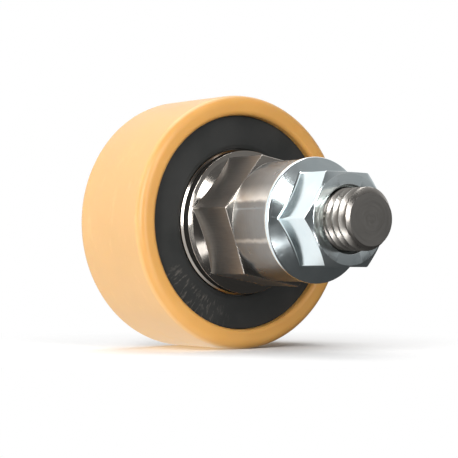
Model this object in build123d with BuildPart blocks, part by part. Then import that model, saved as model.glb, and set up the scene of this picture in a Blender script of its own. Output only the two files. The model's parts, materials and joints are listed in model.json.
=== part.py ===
"""Stud-mounted track roller: a polyurethane-tyred wheel on two sealed ball bearings.

The wheel turns about the Y axis. The stud leaves the wheel towards -Y, which is called
the front here, and a flange nut sits on its threaded end. The origin is the centre of
the wheel. Lengths are millimetres.
"""

from build123d import *
from math import cos, radians, sin, tan
import os

# Wheel
tyre_radius = 55.0 / 2
tyre_width = 24.5
tyre_shoulder_radius = 3.4
tyre_lip_radius = 1.0
hub_radius = 23.2
hub_width = 18.8
key_groove_width = 6.0
key_groove_depth = 0.8
hub_rib_radius = 16.7
hub_edge_chamfer = 0.4

# Side seals
seal_thickness = 1.0
seal_rib_radius = 20.8
seal_rib_width = 1.6
seal_rib_depth = 2.0
seal_clearance = 0.1

# Bearings
bearing_bore_radius = 10.0
bearing_outer_radius = 18.5
bearing_width = 9.0
ball_radius = 2.5
ball_count = 10
pitch_radius = (bearing_bore_radius + bearing_outer_radius) / 2
race_clearance = 0.05
inner_land_radius = 12.6
outer_land_radius = 15.9
race_chamfer = 0.4
shield_step_radius = 16.6
shield_step_depth = 0.95
shield_thickness = 0.7
shield_gap = 0.1

# Ball cage, pressed in two halves and riveted between the balls
cage_inner_radius = 13.35
cage_outer_radius = 15.15
cage_sheet = 0.5
cage_pocket_clearance = 0.1
rivet_radius = 0.35
rivet_head_radius = 0.6
rivet_head_height = 0.3
rivet_clearance = 0.02

# Stud
fit_gap = 0.01
journal_end = -12.2
journal_edge = 0.3
land_radius = 12.4
land_height = 0.4
collar_radius = 31.75 / 2
collar_rim_front = 10.8
collar_rim_edge = 0.42
collar_side_radius = 15.45
collar_side_front = 12.7
collar_cone_angle = 14.0
hex_across_flats = 25.4
hex_front = 24.6
hex_angle = 49.0
boss_radius = 12.65
boss_front = 35.6
boss_edge = 0.4
stud_front = 53.5
stud_edge = 0.9
centre_radius = 1.6
centre_depth = 2.0

# Thread, 1/2 in with 13 turns to the inch
thread_radius = 12.7 / 2
thread_pitch = 25.4 / 13
thread_depth = 0.6134 * thread_pitch
thread_crest = thread_pitch / 8
thread_half_angle = 30.0
thread_overcut = 0.3
relief_radius = 5.1
relief_width = 2.0

# Rear retention
thrust_ring_rear = -11.8
thrust_ring_edge = 0.5
thrust_recess_radius = 14.4
circlip_front = -10.5
circlip_thickness = 1.2
circlip_groove_depth = 0.5
circlip_groove_width = 1.3
circlip_outer_radius = 12.0
circlip_gap_angle = 40.0
circlip_lug_radius = 1.6
circlip_lug_circle = 12.3
circlip_lug_angle = 30.0
circlip_hole_radius = 0.9

# Flange nut
nut_across_flats = 19.05
nut_height = 11.4
nut_angle = 59.0
nut_flange_radius = 13.0
nut_rim_height = 1.2
nut_cone_angle = 27.0
nut_bore_radius = thread_radius + 0.05
nut_mouth_radius = 7.0
nut_face_radius = 9.3
nut_chamfer_angle = 30.0

# Profiles are drawn as (radius, distance towards the front) and turned about Y.
PROFILE = Plane(origin=(0, 0, 0), x_dir=(1, 0, 0), z_dir=(0, 0, -1))


def facing_front(distance):
    """The plane across the axis at this distance towards the front, facing forwards."""
    return Plane(origin=(0, -distance, 0), x_dir=(1, 0, 0), z_dir=(0, -1, 0))


def corner_radius(across_flats):
    """The radius of a hexagon's corners."""
    return across_flats / 2 / cos(radians(30))


def save(part, name):
    part.label = name
    export_step(part, f"parts/{name}.step")


def make_tyre():
    """The tyre, bonded to the hub and keyed into its central groove."""
    half = tyre_width / 2
    key = key_groove_width / 2
    with BuildPart() as tyre:
        with BuildSketch(PROFILE):
            with BuildLine():
                Polyline(
                    (hub_radius, -half),
                    (tyre_radius, -half),
                    (tyre_radius, half),
                    (hub_radius, half),
                    (hub_radius, key),
                    (hub_radius - key_groove_depth, key),
                    (hub_radius - key_groove_depth, -key),
                    (hub_radius, -key),
                    close=True,
                )
            outline = make_face()
            edge = outline.vertices().group_by(Axis.Y)
            ends = edge[0] + edge[-1]
            fillet(ends.group_by(Axis.X)[-1], tyre_shoulder_radius)
            fillet(ends.group_by(Axis.X)[0], tyre_lip_radius)
        revolve(axis=Axis.Y)
    save(tyre.part, "tyre")


def make_hub():
    """The steel core, with a rib between the bearings and a groove for each seal's rib."""
    half = hub_width / 2
    rib = half - bearing_width
    groove_inner = seal_rib_radius - seal_rib_width / 2
    groove_outer = seal_rib_radius + seal_rib_width / 2
    with BuildPart() as hub:
        with BuildSketch(PROFILE):
            with BuildLine():
                Polyline(
                    (hub_rib_radius, -rib),
                    (bearing_outer_radius + fit_gap, -rib),
                    (bearing_outer_radius + fit_gap, -half + hub_edge_chamfer),
                    (bearing_outer_radius + fit_gap + hub_edge_chamfer, -half),
                    (hub_radius, -half),
                    (hub_radius, -key_groove_width / 2),
                    (hub_radius - key_groove_depth, -key_groove_width / 2),
                    (hub_radius - key_groove_depth, key_groove_width / 2),
                    (hub_radius, key_groove_width / 2),
                    (hub_radius, half),
                    (bearing_outer_radius + fit_gap + hub_edge_chamfer, half),
                    (bearing_outer_radius + fit_gap, half - hub_edge_chamfer),
                    (bearing_outer_radius + fit_gap, rib),
                    (hub_rib_radius, rib),
                    close=True,
                )
            make_face()
        revolve(axis=Axis.Y)
        for side in (-1, 1):
            with BuildSketch(facing_front(side * half)):
                Circle(groove_outer + fit_gap)
                Circle(groove_inner - fit_gap, mode=Mode.SUBTRACT)
            extrude(amount=-side * seal_rib_depth, mode=Mode.SUBTRACT)
    save(hub.part, "hub")


def make_side_seal(name, side):
    """A rubber disc over the hub's end, with a rib pressed into the hub's groove."""
    inner_face = side * hub_width / 2
    with BuildPart() as seal:
        with BuildSketch(facing_front(inner_face)):
            Circle(hub_radius - fit_gap)
            Circle(collar_radius + seal_clearance, mode=Mode.SUBTRACT)
        extrude(amount=side * seal_thickness)
        with BuildSketch(facing_front(inner_face)):
            Circle(seal_rib_radius + seal_rib_width / 2)
            Circle(seal_rib_radius - seal_rib_width / 2, mode=Mode.SUBTRACT)
        extrude(amount=-side * (seal_rib_depth - fit_gap))
    save(seal.part, name)


def make_race(name, middle, bore, outside):
    """A bearing ring between two radii, grooved for the balls on the side that faces them."""
    half = bearing_width / 2
    is_outer = outside > pitch_radius
    with BuildPart() as race:
        with BuildSketch(PROFILE):
            with Locations((0, middle)):
                with Locations(((bore + outside) / 2, 0)):
                    ring = Rectangle(outside - bore, bearing_width)
                    far_side = ring.vertices().sort_by(Axis.X)
                    corners = far_side[-2:] if is_outer else far_side[:2]
                    chamfer(corners, race_chamfer)
                with Locations((pitch_radius, 0)):
                    Circle(ball_radius + race_clearance, mode=Mode.SUBTRACT)
                if is_outer:
                    step = (bore + shield_step_radius) / 2
                    across = half - shield_step_depth / 2
                    with Locations((step, across), (step, -across)):
                        Rectangle(shield_step_radius - bore, shield_step_depth, mode=Mode.SUBTRACT)
        revolve(axis=Axis.Y)
    save(race.part, name)


def make_balls(name, middle):
    """One bearing's balls, spaced evenly round the pitch circle."""
    with BuildPart(facing_front(middle)) as balls:
        with PolarLocations(pitch_radius, ball_count):
            Sphere(ball_radius)
    save(balls.part, name)


def make_cage_half(name, middle, side):
    """Half of a ribbon cage: a flat ring with a pocket pressed round each ball."""
    pocket_radius = ball_radius + cage_pocket_clearance
    dome_radius = pocket_radius + cage_sheet
    plane = facing_front(middle)
    with BuildPart(plane) as half:
        with BuildSketch(plane):
            Circle(cage_outer_radius)
        extrude(amount=side * cage_sheet)
        with PolarLocations(pitch_radius, ball_count):
            Sphere(dome_radius)
        with BuildSketch(plane):
            Circle(cage_outer_radius)
            Circle(cage_inner_radius, mode=Mode.SUBTRACT)
        extrude(amount=side * dome_radius, mode=Mode.INTERSECT)
        with PolarLocations(pitch_radius, ball_count):
            Sphere(pocket_radius, mode=Mode.SUBTRACT)
        with PolarLocations(pitch_radius, ball_count, start_angle=180 / ball_count):
            Cylinder(rivet_radius + rivet_clearance, 4 * cage_sheet, mode=Mode.SUBTRACT)
    save(half.part, name)


def make_rivets(name, middle):
    """The rivets that close one cage, a head on each side."""
    between_balls = 180 / ball_count
    with BuildPart(facing_front(middle)) as rivets:
        with PolarLocations(pitch_radius, ball_count, start_angle=between_balls):
            Cylinder(rivet_radius, 2 * cage_sheet)
            for side in (-1, 1):
                with Locations((0, 0, side * (cage_sheet + rivet_head_height / 2))):
                    Cylinder(rivet_head_radius, rivet_head_height)
    save(rivets.part, name)


def make_shield(name, middle, side):
    """A bearing shield, seated on the step in the outer race."""
    seat = middle + side * (bearing_width / 2 - shield_step_depth)
    with BuildPart() as shield:
        with BuildSketch(facing_front(seat)):
            Circle(shield_step_radius - fit_gap)
            Circle(inner_land_radius + shield_gap, mode=Mode.SUBTRACT)
        extrude(amount=side * shield_thickness)
    save(shield.part, name)


def make_bearing(end, side):
    """All the pieces of the bearing on this side of the wheel's centre."""
    middle = side * (hub_width - bearing_width) / 2
    make_race(f"{end}_outer_race", middle, outer_land_radius, bearing_outer_radius)
    make_race(f"{end}_inner_race", middle, bearing_bore_radius, inner_land_radius)
    make_balls(f"{end}_balls", middle)
    make_cage_half(f"{end}_cage_outboard", middle, side)
    make_cage_half(f"{end}_cage_inboard", middle, -side)
    make_rivets(f"{end}_cage_rivets", middle)
    make_shield(f"{end}_shield_outboard", middle, side)
    make_shield(f"{end}_shield_inboard", middle, -side)


def make_inner_spacer():
    """The ring that keeps the two inner races apart."""
    half = hub_width / 2 - bearing_width
    with BuildPart() as spacer:
        with BuildSketch(facing_front(-half)):
            Circle(land_radius)
            Circle(bearing_bore_radius, mode=Mode.SUBTRACT)
        extrude(amount=2 * half)
    save(spacer.part, "inner_spacer")


def cut_thread():
    """Cut one 60 degree groove along a helix, from the relief to past the stud's end."""
    half_opening = (thread_pitch - thread_crest) / 2
    slope = tan(radians(thread_half_angle))
    half_outer = half_opening + thread_overcut * slope
    half_root = half_opening - thread_depth * slope
    first_turn = boss_front + relief_width - half_opening
    with BuildLine():
        path = Helix(
            pitch=thread_pitch,
            height=stud_front + thread_pitch - first_turn,
            radius=thread_radius,
            center=(0, -first_turn, 0),
            direction=(0, -1, 0),
        )
    start = path @ 0
    outwards = Vector(start.X, 0, start.Z).normalized()
    with BuildSketch(Plane(origin=start, x_dir=outwards, z_dir=path % 0)) as groove:
        with BuildLine():
            Polyline(
                (thread_overcut, -half_outer),
                (thread_overcut, half_outer),
                (-thread_depth, half_root),
                (-thread_depth, -half_root),
                close=True,
            )
        make_face()
    sweep(groove.sketch, path=path, is_frenet=True, mode=Mode.SUBTRACT)


def make_stud():
    """The stud, turned in one piece from the journal to the threaded end."""
    journal_radius = bearing_bore_radius - fit_gap
    shoulder = hub_width / 2
    groove_rear = circlip_front - circlip_groove_width
    cone_end = hex_across_flats / 2 - fit_gap
    cone_rise = (collar_side_radius - cone_end) * tan(radians(collar_cone_angle))
    with BuildPart() as stud:
        with BuildSketch(PROFILE):
            with BuildLine():
                Polyline(
                    (0, journal_end),
                    (journal_radius - journal_edge, journal_end),
                    (journal_radius, journal_end + journal_edge),
                    (journal_radius, groove_rear),
                    (journal_radius - circlip_groove_depth, groove_rear),
                    (journal_radius - circlip_groove_depth, circlip_front),
                    (journal_radius, circlip_front),
                    (journal_radius, shoulder),
                    (land_radius, shoulder),
                    (land_radius, shoulder + land_height),
                    (collar_radius, shoulder + land_height),
                    (collar_radius, collar_rim_front - collar_rim_edge),
                    (collar_side_radius, collar_rim_front),
                    (collar_side_radius, collar_side_front),
                    (cone_end, collar_side_front + cone_rise),
                    (0, collar_side_front + cone_rise),
                    close=True,
                )
            make_face()
        revolve(axis=Axis.Y)
        with BuildSketch(facing_front(collar_side_front)):
            RegularPolygon(
                hex_across_flats / 2, 6, major_radius=False, rotation=hex_angle
            )
        extrude(amount=hex_front - collar_side_front)
        with BuildSketch(PROFILE):
            with BuildLine():
                Polyline(
                    (0, hex_front),
                    (boss_radius, hex_front),
                    (boss_radius, boss_front - boss_edge),
                    (boss_radius - boss_edge, boss_front),
                    (relief_radius, boss_front),
                    (relief_radius, boss_front + relief_width - thread_depth),
                    (thread_radius, boss_front + relief_width),
                    (thread_radius, stud_front - stud_edge),
                    (thread_radius - stud_edge, stud_front),
                    (0, stud_front),
                    close=True,
                )
            make_face()
        revolve(axis=Axis.Y)
        with BuildSketch(PROFILE):
            with BuildLine():
                Polyline(
                    (0, journal_end),
                    (centre_radius, journal_end),
                    (0, journal_end + centre_depth),
                    close=True,
                )
            make_face()
        revolve(axis=Axis.Y, mode=Mode.SUBTRACT)
        cut_thread()
    save(stud.part, "stud")


def make_rear_thrust_ring():
    """The ring that clamps the inner races from behind, recessed for the circlip."""
    inner_face = -hub_width / 2
    with BuildPart() as ring:
        with BuildSketch(PROFILE):
            with BuildLine():
                Polyline(
                    (bearing_bore_radius, inner_face),
                    (land_radius, inner_face),
                    (land_radius, inner_face - land_height),
                    (collar_radius, inner_face - land_height),
                    (collar_radius, thrust_ring_rear + thrust_ring_edge),
                    (collar_radius - thrust_ring_edge, thrust_ring_rear),
                    (thrust_recess_radius, thrust_ring_rear),
                    (thrust_recess_radius, circlip_front),
                    (bearing_bore_radius, circlip_front),
                    close=True,
                )
            make_face()
        revolve(axis=Axis.Y)
    save(ring.part, "rear_thrust_ring")


def make_circlip():
    """The open retaining ring in the journal's groove, with an eye at each end."""
    groove_radius = bearing_bore_radius - circlip_groove_depth
    gap = radians(circlip_gap_angle / 2)
    reach = 2 * circlip_outer_radius
    eyes = PolarLocations(
        circlip_lug_circle,
        2,
        start_angle=-90 - circlip_lug_angle,
        angular_range=2 * circlip_lug_angle,
        endpoint=True,
    )
    with BuildPart() as circlip:
        with BuildSketch(facing_front(circlip_front)):
            Circle(circlip_outer_radius)
            with eyes:
                Circle(circlip_lug_radius)
            Circle(groove_radius, mode=Mode.SUBTRACT)
            with eyes:
                Circle(circlip_hole_radius, mode=Mode.SUBTRACT)
            with BuildLine():
                Polyline(
                    (0, 0),
                    (-reach * sin(gap), -reach * cos(gap)),
                    (reach * sin(gap), -reach * cos(gap)),
                    close=True,
                )
            make_face(mode=Mode.SUBTRACT)
        extrude(amount=-circlip_thickness)
    save(circlip.part, "circlip")


def make_flange_nut():
    """The hex nut with its conical flange, its bore clear of the stud's thread crests."""
    seat = boss_front
    top = seat + nut_height
    corner = corner_radius(nut_across_flats)
    cone_height = (nut_flange_radius - nut_bore_radius) * tan(radians(nut_cone_angle))
    chamfer_drop = (corner - nut_face_radius) * tan(radians(nut_chamfer_angle))
    mouth_depth = nut_mouth_radius - nut_bore_radius
    with BuildPart() as nut:
        with BuildSketch(facing_front(seat)):
            RegularPolygon(nut_across_flats / 2, 6, major_radius=False, rotation=nut_angle)
        extrude(amount=nut_height)
        with BuildSketch(PROFILE):
            with BuildLine():
                Polyline(
                    (0, seat),
                    (corner + 1, seat),
                    (corner + 1, top - chamfer_drop - tan(radians(nut_chamfer_angle))),
                    (nut_face_radius, top),
                    (0, top),
                    close=True,
                )
            make_face()
        revolve(axis=Axis.Y, mode=Mode.INTERSECT)
        with BuildSketch(PROFILE):
            with BuildLine():
                Polyline(
                    (0, seat),
                    (nut_flange_radius, seat),
                    (nut_flange_radius, seat + nut_rim_height),
                    (nut_bore_radius, seat + nut_rim_height + cone_height),
                    (0, seat + nut_rim_height + cone_height),
                    close=True,
                )
            make_face()
        revolve(axis=Axis.Y)
        with BuildSketch(PROFILE):
            with BuildLine():
                Polyline(
                    (0, seat),
                    (nut_mouth_radius, seat),
                    (nut_bore_radius, seat + mouth_depth),
                    (nut_bore_radius, top - mouth_depth),
                    (nut_mouth_radius, top),
                    (0, top),
                    close=True,
                )
            make_face()
        revolve(axis=Axis.Y, mode=Mode.SUBTRACT)
    save(nut.part, "flange_nut")


os.makedirs("parts", exist_ok=True)
make_tyre()
make_hub()
make_side_seal("front_seal", 1)
make_side_seal("rear_seal", -1)
make_bearing("front", 1)
make_bearing("rear", -1)
make_inner_spacer()
make_stud()
make_rear_thrust_ring()
make_circlip()
make_flange_nut()
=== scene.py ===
"""The finished look of the track roller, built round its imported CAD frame.

Lengths are metres. The wheel turns about Y and the stud points towards -Y, the front.
A station is a distance from the wheel's centre towards the front.
"""

import json
from math import atan, ceil, cos, pi, radians, sin, sqrt, tan

import bmesh
import bpy
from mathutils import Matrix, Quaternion, Vector


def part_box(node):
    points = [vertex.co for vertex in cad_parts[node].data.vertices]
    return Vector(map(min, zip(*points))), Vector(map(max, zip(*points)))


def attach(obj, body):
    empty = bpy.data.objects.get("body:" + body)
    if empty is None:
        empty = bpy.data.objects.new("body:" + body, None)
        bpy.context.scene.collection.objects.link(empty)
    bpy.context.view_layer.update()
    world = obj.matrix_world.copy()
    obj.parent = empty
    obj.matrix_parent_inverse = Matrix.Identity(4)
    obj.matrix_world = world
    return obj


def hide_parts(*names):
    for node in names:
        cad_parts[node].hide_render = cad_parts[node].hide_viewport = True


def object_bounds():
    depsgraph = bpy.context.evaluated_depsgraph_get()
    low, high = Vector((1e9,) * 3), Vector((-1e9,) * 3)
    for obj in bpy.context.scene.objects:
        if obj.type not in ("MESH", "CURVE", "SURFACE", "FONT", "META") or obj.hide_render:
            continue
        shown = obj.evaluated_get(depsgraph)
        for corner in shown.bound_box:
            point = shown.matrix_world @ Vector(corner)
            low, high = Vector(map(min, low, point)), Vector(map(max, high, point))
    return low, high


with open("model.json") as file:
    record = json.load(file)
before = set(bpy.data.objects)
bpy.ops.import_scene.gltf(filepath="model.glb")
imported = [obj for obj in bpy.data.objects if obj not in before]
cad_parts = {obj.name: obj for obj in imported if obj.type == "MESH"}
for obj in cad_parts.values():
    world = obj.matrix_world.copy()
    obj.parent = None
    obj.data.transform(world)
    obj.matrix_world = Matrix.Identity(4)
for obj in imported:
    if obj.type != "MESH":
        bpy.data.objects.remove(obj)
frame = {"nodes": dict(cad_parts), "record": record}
cad_low, cad_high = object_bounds()
MM = 0.001


def radius_of(node):
    """The outside radius of a node that is round about the axis."""
    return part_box(node)[1].x


def stations_of(node):
    """The rear and front station of a node."""
    low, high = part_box(node)
    return -high.y, -low.y


def corner_angle(node, rear, front):
    """The angle of one hexagon corner, the farthest point from the axis between two stations."""
    points = [v.co for v in frame["nodes"][node].data.vertices if rear < -v.co.y < front]
    corner = max(points, key=lambda p: p.x * p.x + p.z * p.z)
    return Vector((corner.x, corner.z)).angle_signed(Vector((1, 0)))


# Sizes that the frame gives
tyre_radius = radius_of("tyre")
tyre_half = stations_of("tyre")[1]
hub_radius = radius_of("hub")
hub_half = stations_of("hub")[1]
seal_face = stations_of("front_seal")[1]
land_radius = radius_of("inner_spacer")
collar_radius = radius_of("rear_thrust_ring")
ring_rear = stations_of("rear_thrust_ring")[0]
journal_end, stud_front = stations_of("stud")
boss_front, nut_top = stations_of("flange_nut")
nut_flange_radius = radius_of("flange_nut")
circlip_front = stations_of("circlip")[1]
boss_radius = next(m for m in frame["record"]["mounts"] if m["kind"] == "pin")["dims"]["r_mm"] * MM

# Tyre and seals
tyre_shoulder_bend = 3.4 * MM
tyre_lip_bend = 1.0 * MM
key_groove_half = 3.0 * MM
key_groove_depth = 0.8 * MM
seal_rib_radius = 20.8 * MM
seal_rib_half = 0.8 * MM
seal_rib_depth = 2.0 * MM
seal_clearance = 0.1 * MM
rub_angle = 4.05  # the middle of the rubbed patch, in radians from +X towards +Z

# Stud
journal_radius = 9.99 * MM
journal_edge = 0.3 * MM
land_height = 0.4 * MM
rim_front = 10.8 * MM
rim_edge = 0.42 * MM
collar_side_radius = 15.45 * MM
collar_side_front = 12.7 * MM
collar_cone = radians(14)
collar_ledge_radius = 14.5 * MM
collar_sweep = radians(30)
hex_flat = 12.7 * MM
hex_front = 24.6 * MM
hex_edge = 0.22 * MM
boss_edge = 0.4 * MM
centre_radius = 1.6 * MM
centre_depth = 2.0 * MM
circlip_groove_depth = 0.5 * MM
least_ledge = 0.05 * MM

# Painted highlights along the boss, pale streaks that stand in for reflected light, as heights
# above the axis:
# the broad one's fade in and fade out, and the middle of the thin one
broad_highlight_foot = (3.5 * MM, 4.2 * MM)
broad_highlight_top = (7.5 * MM, 4.5 * MM)
thin_highlight_middle = -4.2 * MM

# Thread, 1/2 in with 13 turns to the inch
thread_radius = 6.35 * MM
thread_pitch = 25.4 / 13 * MM
thread_depth = 0.6134 * thread_pitch
relief_radius = 5.1 * MM
relief_length = 0.8 * MM
stud_edge = 0.9 * MM

# Rear ring
thrust_recess_radius = 14.4 * MM
thrust_bore_radius = 10.0 * MM
ring_edge = 0.5 * MM

# Flange nut
nut_flat = 19.05 / 2 * MM
nut_rim_height = 1.2 * MM
nut_cone = radians(27)
nut_bore_radius = 6.4 * MM
nut_mouth_radius = 7.0 * MM
nut_face_radius = 9.3 * MM
nut_chamfer = radians(30)
nut_thread_depth = 0.5 * MM

# Broken edges of the CAD nodes inside
broken_edge = 0.12 * MM

# Stage
floor_size = 8.0
floor_fade_start = 22 * MM
floor_fade_end = 75 * MM


# ---------------------------------------------------------------- mesh code


def hex_radius(angle, flat, bend):
    """The distance from the axis to a hexagon with rounded corners, at an angle from a corner."""
    off_corner = abs((angle + pi / 6) % (pi / 3) - pi / 6)
    centre = (flat - bend) / cos(pi / 6)
    if off_corner < rounding_angle(flat, bend):
        return centre * cos(off_corner) + sqrt(bend**2 - (centre * sin(off_corner)) ** 2)
    return flat / cos(pi / 6 - off_corner)


def rounding_angle(flat, bend):
    """How far from the corner its rounding ends, as an angle at the axis."""
    centre = (flat - bend) / cos(pi / 6)
    return atan(bend * sin(pi / 6) / (centre + bend * cos(pi / 6)))


def round_angles(count):
    """Even angles for a full turn, with the first repeated at the end."""
    return [2 * pi * i / count for i in range(count + 1)]


def hex_angles(corner, flat, bend, per_flat):
    """Angles for a full turn, closer and closer towards a hexagon's rounded corners."""
    per_corner = 6
    crowding = 0.9
    edge = rounding_angle(flat, bend)
    across = pi / 3 - 2 * edge
    angles = []
    for side in range(6):
        start = corner + side * pi / 3
        angles += [start - edge + 2 * edge * i / per_corner for i in range(per_corner)]
        for i in range(per_flat):
            share = i / per_flat - crowding * sin(2 * pi * i / per_flat) / (2 * pi)
            angles.append(start + edge + across * share)
    return angles + [angles[0] + 2 * pi]


def rounded(outline):
    """An outline's points, each bend turned into an arc: (radius, station, wear and highlight).

    The outline is a list of (radius, station, bend radius). The last value is 1 on the arcs that
    stand proud:
    there the materials draw edge wear and a painted edge highlight.
    """
    steps = 5
    points = []
    for i, (radius, station, bend) in enumerate(outline):
        here = Vector((radius, station, 0))
        if bend == 0:
            points.append((radius, station, 0))
            continue
        before = Vector((*outline[i - 1][:2], 0)) - here
        after = Vector((*outline[(i + 1) % len(outline)][:2], 0)) - here
        half = before.angle(after) / 2
        reach = min(bend / tan(half), 0.48 * before.length, 0.48 * after.length)
        start = before.normalized() * reach
        end = after.normalized() * reach
        middle = (start + end).normalized() * (reach / cos(half))
        turn = pi - 2 * half
        outer_bend = before.cross(after).z < 0
        for step in range(steps + 1):
            share = step / steps
            spoke = (start - middle) * sin((1 - share) * turn) + (end - middle) * sin(share * turn)
            point = here + middle + spoke / sin(turn)
            points.append((point.x, point.y, sin(pi * share) * outer_bend))
    return points


def turned(outline_at, angles, closed=False):
    """A sheet of points swept round the axis. outline_at gives the outline at an angle."""
    sheet = []
    for angle in angles:
        points = rounded(outline_at(angle))
        if closed:
            points.append(points[0])
        sheet.append([(r * cos(angle), -t, r * sin(angle), w) for r, t, w in points])
    return sheet


def ring(outline, count):
    """A sheet of one closed outline swept round the axis in a number of steps."""
    return turned(lambda angle: outline, round_angles(count), closed=True)


def thread_shape(phase):
    """How deep a 60 degree thread is cut, as a share of its depth, at a share of a turn."""
    off_crest = abs((phase + 0.5) % 1 - 0.5)
    crest, root = 1 / 16, 5 / 12
    return min(max((off_crest - crest) / (root - crest), 0), 1)


def helical(radius_at, angles, rear, front):
    """A sheet of points whose rows follow a right-hand thread between two stations.

    The rows are shares of one pitch, from crest to root and back.
    """
    rows = (0, 1 / 16, 0.18, 0.3, 5 / 12, 0.5, 7 / 12, 0.7, 0.82, 15 / 16)
    turns = ceil((front - rear) / thread_pitch) + 2
    sheet = []
    for angle in angles:
        column = []
        for turn in range(-1, turns):
            for row in rows:
                free = rear + thread_pitch * (turn + row + (angle - angles[0]) / (2 * pi) - 1)
                station = min(max(free, rear), front)
                phase = (station - rear) / thread_pitch - (angle - angles[0]) / (2 * pi)
                radius = radius_at(station, phase)
                column.append((radius * cos(angle), -station, radius * sin(angle), 0))
        sheet.append(column)
    return sheet


def skin(name, sheets):
    """One object whose mesh joins sheets of points along the edges that they share."""
    sharp = radians(35)
    same_point = 2e-7
    bm = bmesh.new()
    wear_and_highlight = bm.verts.layers.float.new("wear_and_highlight")
    for sheet in sheets:
        columns = []
        for points in sheet:
            column = []
            for x, y, z, amount in points:
                vertex = bm.verts.new((x, y, z))
                vertex[wear_and_highlight] = amount
                column.append(vertex)
            columns.append(column)
        for left, right in zip(columns, columns[1:]):
            for corners in zip(left, left[1:], right[1:], right):
                bm.faces.new(corners)
    bmesh.ops.remove_doubles(bm, verts=bm.verts, dist=same_point)
    bmesh.ops.dissolve_degenerate(bm, dist=same_point, edges=bm.edges)
    bmesh.ops.recalc_face_normals(bm, faces=bm.faces)
    mesh = bpy.data.meshes.new(name)
    bm.to_mesh(mesh)
    bm.free()
    mesh.shade_smooth()
    mesh.set_sharp_from_angle(angle=sharp)
    piece = bpy.data.objects.new(name, mesh)
    bpy.context.scene.collection.objects.link(piece)
    even = piece.modifiers.new("even_shading", "WEIGHTED_NORMAL")
    even.keep_sharp = True
    return piece


def place(piece, body, node, slot, *materials):
    """The piece rides on a body, stands for a CAD node and takes its materials."""
    for material in materials:
        piece.data.materials.append(material)
    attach(piece, body)
    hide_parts(node)


def choose_material(piece, index_at, flat_index):
    """Give each face its material, by station and lean. Faces of the flat one aren't smoothed."""
    for face in piece.data.polygons:
        face.material_index = index_at(-face.center.y, abs(face.normal.y))
        face.use_smooth = face.material_index != flat_index


# ---------------------------------------------------------------- node helpers


def new_material(name, metallic=0.0):
    """A new material, its node tree and its shader."""
    material = bpy.data.materials.new(name)
    material.use_nodes = True
    shader = material.node_tree.nodes["Principled BSDF"]
    shader.inputs["Metallic"].default_value = metallic
    return material, material.node_tree, shader


def add(tree, kind, inputs=None, **settings):
    """A new node. An input is a number, a colour or another node's output."""
    made = tree.nodes.new(kind)
    for key, value in settings.items():
        setattr(made, key, value)
    for socket, value in (inputs or {}).items():
        if isinstance(value, bpy.types.NodeSocket):
            tree.links.new(value, made.inputs[socket])
        else:
            made.inputs[socket].default_value = value
    return made


def calc(tree, operation, a, b=0.0):
    return add(tree, "ShaderNodeMath", {0: a, 1: b}, operation=operation).outputs[0]


def plus(tree, a, b):
    return calc(tree, "ADD", a, b)


def minus(tree, a, b):
    return calc(tree, "SUBTRACT", a, b)


def times(tree, a, b):
    return calc(tree, "MULTIPLY", a, b)


def ramp(tree, value, low, high, to_low=0.0, to_high=1.0):
    """The value's range from low to high, stretched to another range and held there."""
    span = {"From Min": low, "From Max": high, "To Min": to_low, "To Max": to_high}
    return add(tree, "ShaderNodeMapRange", {"Value": value, **span}).outputs[0]


def mix(tree, share, a, b):
    """A colour between a and b."""
    a, b = ((*colour, 1) if isinstance(colour, tuple) else colour for colour in (a, b))
    return add(tree, "ShaderNodeMix", {0: share, 6: a, 7: b}, data_type="RGBA").outputs[2]


def noise(tree, at, scale, detail=3.0, roughness=0.55, distortion=0.0):
    """Smooth noise from 0 to 1 at some coordinates."""
    sockets = {
        "Vector": at,
        "Scale": scale,
        "Detail": detail,
        "Roughness": roughness,
        "Distortion": distortion,
    }
    return add(tree, "ShaderNodeTexNoise", sockets).outputs["Fac"]


def vector(tree, x=0.0, y=0.0, z=0.0):
    return add(tree, "ShaderNodeCombineXYZ", {0: x, 1: y, 2: z}).outputs[0]


def split(tree, at):
    """The x, y and z of some coordinates."""
    return add(tree, "ShaderNodeSeparateXYZ", {0: at}).outputs


def vector_calc(tree, operation, *inputs, output="Vector"):
    made = add(tree, "ShaderNodeVectorMath", dict(enumerate(inputs)), operation=operation)
    return made.outputs[output]


def places(tree):
    """The object's coordinates, the direction out from its axis, its radius and its station."""
    here = add(tree, "ShaderNodeTexCoord").outputs["Object"]
    x, y, z = split(tree, here)
    spoke = vector(tree, x, 0.0, z)
    outward = vector_calc(tree, "NORMALIZE", spoke)
    radius = vector_calc(tree, "LENGTH", spoke, output="Value")
    return here, outward, radius, times(tree, y, -1.0)


def swept(tree, outward, stretch, along):
    """Coordinates that change by stretch round the axis and by along over a section."""
    scale = (stretch, stretch, stretch)
    return vector_calc(tree, "MULTIPLY_ADD", outward, scale, vector(tree, 0.0, along))


def lathe_rings(tree, outward, radius, station):
    """Coordinates that hardly change round the axis, on cylinders and faces alike."""
    return swept(tree, outward, 0.0004, minus(tree, radius, station))


def turning_marks(tree, outward, radius, station, fineness):
    """The height of the fine rings that a lathe leaves."""
    at = lathe_rings(tree, outward, radius, station)
    lines = noise(tree, at, fineness, 4.0, 0.65)
    broad = noise(tree, at, fineness / 6, 2.0, 0.5)
    return plus(tree, times(tree, lines, 0.65), times(tree, broad, 0.35))


def wear_and_highlight_of(tree):
    """1 on the edges that stand proud, and 0 elsewhere: where edge wear and a painted edge
    highlight are drawn.
    """
    return add(tree, "ShaderNodeAttribute", attribute_name="wear_and_highlight").outputs["Fac"]


def shade(colour, share):
    """A metal's colour, darkened or brightened by a share."""
    brightest = 0.95
    return tuple(min(channel * share, brightest) for channel in colour)


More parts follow.
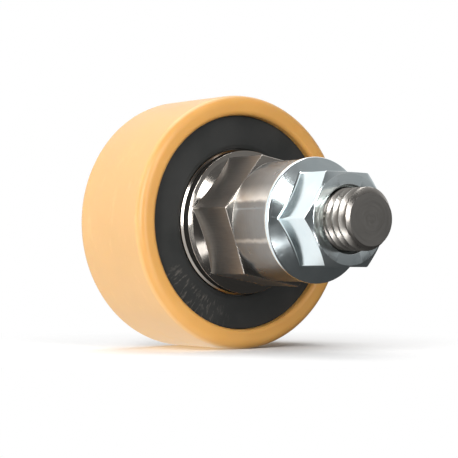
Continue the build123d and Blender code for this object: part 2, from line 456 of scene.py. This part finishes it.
def coat(tree, shader, colour, roughness, height, depth, strength):
    """Give a shader its colour and roughness, and a bump of some depth in metres."""
    tree.links.new(colour, shader.inputs["Base Color"])
    tree.links.new(roughness, shader.inputs["Roughness"])
    bump = add(tree, "ShaderNodeBump", {"Height": height, "Distance": depth, "Strength": strength})
    tree.links.new(bump.outputs[0], shader.inputs["Normal"])


# ---------------------------------------------------------------- materials

white = (1.0, 1.0, 1.0)
black = (0.0, 0.0, 0.0)


def polyurethane():
    """Amber cast polyurethane: cloudy in its depth, with a moulded grain, rolling scuffs and a
    painted sheen on the tread.
    """
    deep, pale = (0.50, 0.252, 0.062), (0.58, 0.302, 0.082)
    tread_sheen, scuffed, dirt = (0.90, 0.62, 0.33), (0.93, 0.66, 0.36), (0.45, 0.20, 0.04)
    material, tree, shader = new_material("amber_polyurethane")
    here, outward, radius, station = places(tree)
    cloud = noise(tree, here, 60, 3.0)
    speck = noise(tree, here, 900, 2.0, 0.7)
    scuff_at = swept(tree, outward, 0.010, plus(tree, station, radius))
    scuff = ramp(tree, noise(tree, scuff_at, 420, 5.0, 0.7), 0.56, 0.74)
    on_tread = ramp(tree, radius, tyre_radius - 0.5 * MM, tyre_radius - 0.1 * MM)
    scuff = times(tree, scuff, on_tread)
    base = mix(tree, ramp(tree, cloud, 0.3, 0.7), deep, pale)
    # Painted sheen: the tread is drawn paler all round, for the light that falls on it.
    base = mix(tree, times(tree, on_tread, 0.34), base, tread_sheen)
    base = mix(tree, times(tree, scuff, 0.22), base, scuffed)
    base = mix(tree, ramp(tree, speck, 0.62, 0.8, 0.0, 0.10), base, dirt)
    rough = plus(tree, ramp(tree, cloud, 0.3, 0.7, 0.34, 0.44), times(tree, scuff, 0.22))
    grain = plus(tree, times(tree, speck, 0.35), scuff)
    coat(tree, shader, base, rough, grain, 0.012 * MM, 0.7)
    shader.inputs["Subsurface Weight"].default_value = 0.22
    shader.inputs["Subsurface Radius"].default_value = (1.0, 0.5, 0.15)
    shader.inputs["Subsurface Scale"].default_value = 1.8 * MM
    shader.inputs["IOR"].default_value = 1.5
    return material


def rubbed_patch(tree, here, outward, radius):
    """Strokes where the seal's face has been rubbed: a patch low on the side away from +X."""
    stroke_at = swept(tree, outward, 0.021, times(tree, radius, 0.28))
    strokes = ramp(tree, noise(tree, stroke_at, 1500, 4.0, 0.7, 0.4), 0.52, 0.66)
    middle = (cos(rub_angle), 0, sin(rub_angle))
    towards = vector_calc(tree, "DOT_PRODUCT", outward, middle, output="Value")
    ragged = ramp(tree, noise(tree, here, 300, 3.0), 0.3, 0.7, -0.04, 0.04)
    patch = ramp(tree, plus(tree, towards, ragged), 0.88, 0.96)
    ring = ramp(tree, radius, seal_rib_radius - 3.0 * MM, seal_rib_radius - 2.0 * MM)
    return times(tree, times(tree, strokes, patch), times(tree, ring, 0.5))


def seal_rubber():
    """Matt black rubber, dusty in places and rubbed in one patch."""
    clean, dusty, pale = (0.010, 0.011, 0.0105), (0.021, 0.021, 0.020), (0.13, 0.115, 0.10)
    material, tree, shader = new_material("black_rubber")
    here, outward, radius, _ = places(tree)
    dust = noise(tree, here, 110, 5.0, 0.65)
    grain = noise(tree, here, 2600, 2.0, 0.6)
    rubbed = rubbed_patch(tree, here, outward, radius)
    base = mix(tree, ramp(tree, dust, 0.35, 0.75), clean, dusty)
    base = mix(tree, rubbed, base, pale)
    rough = ramp(tree, dust, 0.3, 0.7, 0.50, 0.64)
    rough = minus(tree, rough, times(tree, rubbed, 0.2))
    height = plus(tree, times(tree, grain, 0.35), times(tree, rubbed, 2.0))
    coat(tree, shader, base, rough, height, 0.02 * MM, 0.8)
    shader.inputs["Specular IOR Level"].default_value = 0.38
    return material


def painted_highlight_streaks(tree, here):
    """Two painted highlights along the boss on the side away from +X, a broad streak above a thin
    one.
    """
    x, _, z = split(tree, here)
    ragged = ramp(tree, noise(tree, here, 500, 3.0), 0.2, 0.8, -0.25 * MM, 0.25 * MM)
    height = plus(tree, z, ragged)
    foot = ramp(tree, height, *broad_highlight_foot)
    top = ramp(tree, height, *broad_highlight_top)
    broad = calc(tree, "POWER", calc(tree, "MINIMUM", foot, top), 1.4)
    off_thin = calc(tree, "ABSOLUTE", minus(tree, height, thin_highlight_middle))
    thin = ramp(tree, off_thin, 0.6 * MM, 0.1 * MM, 0.0, 0.55)
    near_side = calc(tree, "LESS_THAN", x, 0.0)
    return times(tree, calc(tree, "MAXIMUM", broad, thin), near_side)


def turned_steel(name, colour, roughness, depth, dark, fineness=2600, satin=0.6, painted_highlights=False):
    """Turned and polished steel with lathe rings, smudges, bright edges that are partly wear and
    partly painted highlight, and, when asked, painted highlight streaks.

    Dark is how much darker the rings are, and satin is the share of the finest grooves in the bump.
    """
    material, tree, shader = new_material(name, metallic=1.0)
    here, outward, radius, station = places(tree)
    marks = turning_marks(tree, outward, radius, station, fineness)
    polish = noise(tree, lathe_rings(tree, outward, radius, station), 16000, 2.0, 0.6)
    smudge = noise(tree, here, 170, 4.0, 0.6)
    base = mix(tree, ramp(tree, marks, 0.38, 0.62), shade(colour, 1 - dark), colour)
    base = mix(tree, ramp(tree, smudge, 0.45, 0.8, 0.0, 0.22), base, shade(colour, 0.6))
    if painted_highlights:
        # Painted highlight: pale streaks along the boss, drawn where reflected light would lie.
        base = mix(tree, painted_highlight_streaks(tree, here), base, (0.97, 0.95, 0.90))
    # Proud edges painted brighter: partly edge wear, partly a painted edge highlight.
    base = mix(tree, times(tree, wear_and_highlight_of(tree), 0.85), base, shade(colour, 2.2))
    rough = ramp(tree, smudge, 0.3, 0.75, roughness, roughness + 0.08)
    rough = minus(tree, rough, times(tree, wear_and_highlight_of(tree), 0.06))
    height = plus(tree, marks, times(tree, polish, satin))
    coat(tree, shader, base, rough, height, depth, 0.8)
    return material


def hexagon_steel():
    """Hexagon bar: a drawn grain along the axis, faint smudges, and bright edges that are partly
    wear and partly painted highlight.
    """
    colour = (0.42, 0.405, 0.385)
    material, tree, shader = new_material("hex_steel", metallic=1.0)
    here, outward, _, station = places(tree)
    grain_at = swept(tree, outward, 0.012, times(tree, station, 0.06))
    grain = noise(tree, grain_at, 3600, 4.0, 0.65)
    smudge = noise(tree, here, 120, 4.0, 0.6)
    base = mix(tree, ramp(tree, grain, 0.35, 0.65), shade(colour, 0.87), colour)
    base = mix(tree, ramp(tree, smudge, 0.5, 0.8, 0.0, 0.15), base, shade(colour, 0.7))
    # Proud edges painted brighter: partly edge wear, partly a painted edge highlight.
    base = mix(tree, times(tree, wear_and_highlight_of(tree), 0.9), base, shade(colour, 2.4))
    rough = ramp(tree, smudge, 0.3, 0.75, 0.30, 0.38)
    coat(tree, shader, base, rough, grain, 0.0018 * MM, 0.6)
    return material


def thread_steel():
    """Cut thread: crests and flanks painted bright and roots painted dark, as painted highlight and
    painted shade.
    """
    root, crest, stain = (0.22, 0.205, 0.19), (0.56, 0.53, 0.49), (0.25, 0.23, 0.205)
    material, tree, shader = new_material("thread_steel", metallic=1.0)
    here, outward, radius, station = places(tree)
    marks_at = swept(tree, outward, 0.0006, plus(tree, station, radius))
    marks = noise(tree, marks_at, 5200, 3.0, 0.7)
    smudge = noise(tree, here, 420, 4.0, 0.6)
    up_flank = ramp(tree, radius, thread_radius - thread_depth, thread_radius)
    # Painted shade and highlight: darker towards the roots, brighter towards the crests.
    base = mix(tree, up_flank, root, crest)
    base = mix(tree, ramp(tree, smudge, 0.48, 0.75, 0.0, 0.35), base, stain)
    rough = ramp(tree, smudge, 0.3, 0.7, 0.24, 0.38)
    coat(tree, shader, base, rough, marks, 0.010 * MM, 0.8)
    return material


def zinc_plate():
    """Bright blue zinc plate: cool, glossy, lightly clouded and scratched."""
    blue, pale = (0.76, 0.86, 0.89), (0.88, 0.96, 0.98)
    yellowed, bright = (0.82, 0.84, 0.76), (0.93, 0.97, 0.98)
    material, tree, shader = new_material("blue_zinc_plate", metallic=1.0)
    here, outward, radius, station = places(tree)
    cloud = noise(tree, here, 140, 4.0, 0.6)
    fine = noise(tree, here, 1900, 4.0, 0.7)
    scratch_at = swept(tree, outward, 0.004, plus(tree, station, times(tree, radius, 0.6)))
    scratch = ramp(tree, noise(tree, scratch_at, 2400, 5.0, 0.75), 0.60, 0.72)
    base = mix(tree, ramp(tree, cloud, 0.3, 0.7), blue, pale)
    base = mix(tree, ramp(tree, cloud, 0.62, 0.85, 0.0, 0.25), base, yellowed)
    # Proud edges painted brighter: partly edge wear, partly a painted edge highlight.
    base = mix(tree, times(tree, wear_and_highlight_of(tree), 0.6), base, bright)
    rough = plus(tree, ramp(tree, cloud, 0.3, 0.7, 0.12, 0.20), times(tree, scratch, 0.10))
    height = minus(tree, times(tree, fine, 0.3), times(tree, scratch, 0.4))
    coat(tree, shader, base, rough, height, 0.005 * MM, 0.7)
    return material


def plain_steel(name, colour, roughness, scale, depth):
    """Steel for the inner pieces: grain, patches of dullness and a slight unevenness."""
    material, tree, shader = new_material(name, metallic=1.0)
    here, outward, radius, station = places(tree)
    grain = noise(tree, here, scale, 4.0, 0.65)
    patch = noise(tree, here, 160, 3.0)
    rings = turning_marks(tree, outward, radius, station, 2200)
    base = mix(tree, ramp(tree, grain, 0.3, 0.7), shade(colour, 0.75), colour)
    base = mix(tree, ramp(tree, patch, 0.5, 0.8, 0.0, 0.3), base, shade(colour, 0.55))
    rough = ramp(tree, patch, 0.3, 0.7, roughness, roughness + 0.12)
    coat(tree, shader, base, rough, plus(tree, grain, rings), depth, 0.6)
    return material


def pale_paper():
    """Paper close to the roller. Farther away it glows like the white background.

    In reflections it glows everywhere, and darkly in front of a line beside the roller.
    """
    material, tree, shader = new_material("pale_paper")
    here = add(tree, "ShaderNodeTexCoord").outputs["Object"]
    tone = ramp(tree, noise(tree, here, 30, 2.0), 0.3, 0.7)
    base = mix(tree, tone, (0.93, 0.93, 0.93), (0.95, 0.95, 0.95))
    tree.links.new(base, shader.inputs["Base Color"])
    shader.inputs["Roughness"].default_value = 0.9
    shader.inputs["Specular IOR Level"].default_value = 0.1
    x, y, _ = split(tree, here)
    away = vector_calc(tree, "LENGTH", vector(tree, x, y), output="Value")
    beside = minus(tree, y, times(tree, x, 0.8))
    reflected = mix(tree, ramp(tree, beside, -12 * MM, -2 * MM, 0.06, 1.0), black, white)
    seen = add(tree, "ShaderNodeLightPath").outputs["Is Camera Ray"]
    glow = add(tree, "ShaderNodeEmission", {"Color": mix(tree, seen, reflected, white)}).outputs[0]
    faded = ramp(tree, away, floor_fade_start, floor_fade_end)
    share = calc(tree, "MAXIMUM", faded, minus(tree, 1.0, seen))
    paper = add(tree, "ShaderNodeMixShader", {0: share, 1: shader.outputs[0], 2: glow}).outputs[0]
    tree.links.new(paper, tree.nodes["Material Output"].inputs["Surface"])
    return material


materials = {
    "polyurethane": polyurethane(),
    "seal_rubber": seal_rubber(),
    "stud_steel": turned_steel("turned_steel", (0.40, 0.37, 0.335), 0.10, 0.001 * MM, 0.1),
    "zinc_plate": zinc_plate(),
    "core_steel": plain_steel("core_steel", (0.40, 0.39, 0.38), 0.34, 700, 0.01 * MM),
    "bearing_steel": plain_steel("bearing_steel", (0.62, 0.62, 0.61), 0.16, 1500, 0.003 * MM),
    "ball_steel": plain_steel("ball_steel", (0.78, 0.78, 0.78), 0.06, 2500, 0.001 * MM),
    "cage_steel": plain_steel("cage_steel", (0.50, 0.48, 0.44), 0.30, 900, 0.006 * MM),
    "shield_steel": plain_steel("shield_steel", (0.55, 0.55, 0.54), 0.26, 1100, 0.005 * MM),
    "spring_steel": plain_steel("spring_steel", (0.10, 0.10, 0.105), 0.34, 1300, 0.006 * MM),
}


# ---------------------------------------------------------------- pieces


def make_tyre():
    """The cast ring, with the key that locks it into the groove round the hub."""
    key_radius = hub_radius - key_groove_depth
    outline = [
        (hub_radius, -tyre_half, tyre_lip_bend),
        (tyre_radius, -tyre_half, tyre_shoulder_bend),
        (tyre_radius, tyre_half, tyre_shoulder_bend),
        (hub_radius, tyre_half, tyre_lip_bend),
        (hub_radius, key_groove_half, 0),
        (key_radius, key_groove_half, 0),
        (key_radius, -key_groove_half, 0),
        (hub_radius, -key_groove_half, 0),
    ]
    piece = skin("tyre_cast", [ring(outline, 240)])
    place(piece, "wheel", "tyre", "polyurethane", materials["polyurethane"])


def make_side_seal(node, side):
    """The rubber disc with a rounded rim, a soft inner lip and the rib behind it."""
    rim_bend = 0.25 * MM
    lip_width = 0.9 * MM
    lip_dip = 0.22 * MM
    inner = collar_radius + seal_clearance
    section = [
        (inner, hub_half, 0),
        (seal_rib_radius - seal_rib_half, hub_half, 0),
        (seal_rib_radius - seal_rib_half, hub_half - seal_rib_depth, 0),
        (seal_rib_radius + seal_rib_half, hub_half - seal_rib_depth, 0),
        (seal_rib_radius + seal_rib_half, hub_half, 0),
        (hub_radius, hub_half, 0),
        (hub_radius, seal_face, rim_bend),
        (inner + lip_width, seal_face, 2 * rim_bend),
        (inner, seal_face - lip_dip, rim_bend),
    ]
    outline = [(radius, side * station, bend) for radius, station, bend in section]
    piece = skin(f"{node}_moulded", [ring(outline, 180)])
    place(piece, "wheel", node, "seal_rubber", materials["seal_rubber"])


def make_stud():
    """Journal, collar, wrench hexagon, boss and thread, all one turned piece."""
    corner = corner_angle("stud", hex_front - 0.1 * MM, hex_front + 0.1 * MM)
    corner_bend = 0.3 * MM
    shoulder = hub_half
    groove_radius = journal_radius - circlip_groove_depth
    thread_rear = boss_front + relief_length
    ledge_front = collar_side_front + (collar_side_radius - collar_ledge_radius) * tan(collar_cone)

    def outline(angle):
        hexagon = hex_radius(angle - corner, hex_flat, corner_bend)
        ledge = max(collar_ledge_radius, hexagon + least_ledge)
        hex_rear = ledge_front + max(collar_ledge_radius - hexagon, 0) * tan(collar_sweep)
        return [
            (0, journal_end + centre_depth, 0),
            (centre_radius, journal_end, 0.15 * MM),
            (journal_radius - journal_edge, journal_end, 0.1 * MM),
            (journal_radius, journal_end + journal_edge, 0.1 * MM),
            (journal_radius, ring_rear, 0),
            (groove_radius, ring_rear, 0),
            (groove_radius, circlip_front, 0),
            (journal_radius, circlip_front, 0),
            (journal_radius, shoulder, 0),
            (land_radius, shoulder, 0),
            (land_radius, shoulder + land_height, 0),
            (collar_radius, shoulder + land_height, 0.15 * MM),
            (collar_radius, rim_front - rim_edge, 0.25 * MM),
            (collar_side_radius, rim_front, 0.05 * MM),
            (collar_side_radius, collar_side_front, 0.12 * MM),
            (ledge, ledge_front, 0.2 * MM),
            (hexagon, hex_rear, 0.12 * MM),
            (hexagon, hex_front, hex_edge),
            (boss_radius, hex_front, 0.1 * MM),
            (boss_radius, boss_front, boss_edge),
            (relief_radius, boss_front, 0.2 * MM),
            (relief_radius, thread_rear, 0),
        ]

    def radius_at(station, phase):
        cut = thread_radius - thread_depth * thread_shape(phase)
        run_in = relief_radius + station - thread_rear
        run_out = thread_radius - stud_edge + stud_front - station
        return min(cut, run_in, run_out)

    angles = hex_angles(corner, hex_flat, corner_bend, 40)
    thread = helical(radius_at, angles, thread_rear, stud_front)
    for column in thread:
        column.append((0, -stud_front, 0, 0))
    piece = skin("stud_turned", [turned(outline, angles), thread])

    polished, flats, thread_part, end_face, boss = range(5)

    def index_at(station, lean):
        if station > stud_front - 0.01 * MM:
            return end_face
        if station > thread_rear:
            return thread_part
        if station > hex_front + 0.05 * MM:
            return boss
        on_hexagon = collar_side_front + 0.3 * MM < station < hex_front - 0.05 * MM
        return flats if on_hexagon and lean < 0.2 else polished

    end_steel = turned_steel("end_face_steel", (0.33, 0.315, 0.295), 0.32, 0.004 * MM, 0.2, 1900)
    boss_steel = turned_steel(
        "boss_steel", (0.35, 0.36, 0.362), 0.26, 0.002 * MM, 0.08, satin=14.0, painted_highlights=True
    )
    steels = (materials["stud_steel"], hexagon_steel(), thread_steel(), end_steel, boss_steel)
    place(piece, "stud", "stud", "stud_steel", *steels)
    choose_material(piece, index_at, end_face)


def make_rear_thrust_ring():
    """The ring behind the rear bearing: a land for the inner race and a recess for the circlip."""
    inner_face = -hub_half
    outline = [
        (thrust_bore_radius, inner_face, 0),
        (land_radius, inner_face, 0),
        (land_radius, inner_face - land_height, 0),
        (collar_radius, inner_face - land_height, 0.15 * MM),
        (collar_radius, ring_rear, ring_edge),
        (thrust_recess_radius, ring_rear, 0.2 * MM),
        (thrust_recess_radius, circlip_front, 0.2 * MM),
        (thrust_bore_radius, circlip_front, 0.1 * MM),
    ]
    piece = skin("thrust_ring_turned", [ring(outline, 180)])
    place(piece, "stud", "rear_thrust_ring", "stud_steel", materials["stud_steel"])


def make_flange_nut():
    """The plated nut: chamfered hexagon, coned flange, and a thread sunk into its bore."""
    corner = corner_angle("flange_nut", nut_top - 2 * MM, nut_top)
    corner_bend = 0.45 * MM
    mouth_depth = nut_mouth_radius - nut_bore_radius
    bore_rear = boss_front + mouth_depth
    bore_front = nut_top - mouth_depth

    def outline(angle):
        hexagon = hex_radius(angle - corner, nut_flat, corner_bend)
        cone_top = boss_front + nut_rim_height + (nut_flange_radius - hexagon) * tan(nut_cone)
        chamfer_rear = nut_top - (hexagon - nut_face_radius) * tan(nut_chamfer)
        return [
            (nut_bore_radius, bore_rear, 0),
            (nut_mouth_radius, boss_front, 0.15 * MM),
            (nut_flange_radius, boss_front, 0.3 * MM),
            (nut_flange_radius, boss_front + nut_rim_height, 0.5 * MM),
            (hexagon, cone_top, 0.7 * MM),
            (hexagon, chamfer_rear, 0.15 * MM),
            (nut_face_radius, nut_top, 0.3 * MM),
            (nut_mouth_radius, nut_top, 0.2 * MM),
            (nut_bore_radius, bore_front, 0),
        ]

    def radius_at(station, phase):
        groove = nut_thread_depth * thread_shape(phase)
        return nut_bore_radius + min(groove, station - bore_rear, bore_front - station)

    angles = hex_angles(corner, nut_flat, corner_bend, 36)
    sheets = [turned(outline, angles), helical(radius_at, angles, bore_rear, bore_front)]
    piece = skin("flange_nut_plated", sheets)
    place(piece, "nut", "flange_nut", "zinc_plate", materials["zinc_plate"])


make_tyre()
make_side_seal("front_seal", 1)
make_side_seal("rear_seal", -1)
make_stud()
make_rear_thrust_ring()
make_flange_nut()

for subpart in frame["record"]["subparts"]:
    node = frame["nodes"][subpart["node"]]
    node.data.materials.clear()
    node.data.materials.append(materials[subpart["material_slot"]])

for name in ("circlip", "hub", "inner_spacer"):
    bevel = frame["nodes"][name].modifiers.new("broken_edges", "BEVEL")
    bevel.width = broken_edge
    bevel.segments = 3
    bevel.angle_limit = radians(40)


# ---------------------------------------------------------------- stage, light and camera


def aim(thing, target, roll=0.0):
    """Turn a light or camera towards a point, then about its own line of sight."""
    away = thing.location - Vector(target)
    thing.rotation_mode = "QUATERNION"
    thing.rotation_quaternion = away.to_track_quat("Z", "Y") @ Quaternion((0, 0, 1), roll)


def make_floor():
    """White paper under the roller, which casts no shadow of its own."""
    mesh = bpy.data.meshes.new("floor")
    corners = [(-1, -1), (1, -1), (1, 1), (-1, 1)]
    points = [(x * floor_size, y * floor_size, cad_low.z) for x, y in corners]
    mesh.from_pydata(points, [], [(0, 1, 2, 3)])
    mesh.materials.append(pale_paper())
    floor = bpy.data.objects.new("floor", mesh)
    bpy.context.scene.collection.objects.link(floor)
    floor.visible_shadow = False


def area_light(name, position, width, height, power):
    """A rectangular light that faces the middle of the roller. Its power is in watts."""
    data = bpy.data.lights.new(name, "AREA")
    data.shape = "RECTANGLE"
    data.size = width
    data.size_y = height
    data.energy = power
    light = bpy.data.objects.new(name, data)
    light.location = position
    bpy.context.scene.collection.objects.link(light)
    aim(light, (0, -0.02, 0))


def room_tone(tree, x, y, z):
    """The studio's brightness in reflections: white behind, and in front darkest low and left."""
    front = ramp(tree, x, -0.25, 0.45, 0.05, 0.30)
    front = times(tree, front, ramp(tree, z, -0.5, 0.0, 0.3, 1.0))
    behind = ramp(tree, y, -0.05, 0.35)
    return plus(tree, times(tree, front, minus(tree, 1.0, behind)), behind)


def make_world():
    """White to look at, shaded like a studio in reflections, and dimmer on the right as a light."""
    world = bpy.data.worlds.new("studio")
    bpy.context.scene.world = world
    world.use_nodes = True
    tree = world.node_tree
    direction = add(tree, "ShaderNodeTexCoord").outputs["Generated"]
    x, y, z = split(tree, direction)
    path = add(tree, "ShaderNodeLightPath")
    room = mix(tree, room_tone(tree, x, y, z), black, (1.15, 1.15, 1.15))
    ambient = mix(tree, ramp(tree, x, -0.5, 0.5), (0.44, 0.44, 0.44), (0.10, 0.10, 0.10))
    unseen = mix(tree, path.outputs["Is Glossy Ray"], ambient, room)
    colour = mix(tree, path.outputs["Is Camera Ray"], unseen, white)
    tree.links.new(colour, tree.nodes["Background"].inputs["Color"])


def make_camera():
    """The photo's point of view, as fitted to the roller's circles and corners."""
    azimuth = radians(-36.08)
    elevation = radians(-0.68)
    roll = radians(-0.32)
    distance = 361.2 * MM
    look_at = Vector((0, -20 * MM, 0))
    aside = -8.25 * MM
    lift = -1.54 * MM
    away = Vector((sin(azimuth) * cos(elevation), -cos(azimuth) * cos(elevation), sin(elevation)))
    right = Vector((0, 0, 1)).cross(away).normalized()
    up = away.cross(right)
    data = bpy.data.cameras.new("camera")
    data.lens = 133.6
    data.sensor_width = 36
    data.clip_start = 0.01
    camera = bpy.data.objects.new("camera", data)
    bpy.context.scene.collection.objects.link(camera)
    target = look_at + aside * right + lift * up
    camera.location = target + away * distance
    aim(camera, target, roll)
    bpy.context.scene.camera = camera


make_floor()
make_world()
area_light("key", (-0.62, -0.42, 0.22), 0.22, 0.70, 6.0)
area_light("strip", (-0.02, -0.75, 0.05), 0.07, 0.60, 2.0)
area_light("top", (0.05, 0.15, 0.80), 0.60, 0.60, 4.0)
area_light("front_high", (-0.16, -0.70, 0.40), 0.20, 0.20, 1.6)
area_light("front_low", (-0.24, -0.72, -0.33), 0.07, 0.07, 0.8)
make_camera()
bpy.context.scene.view_settings.view_transform = "Standard"
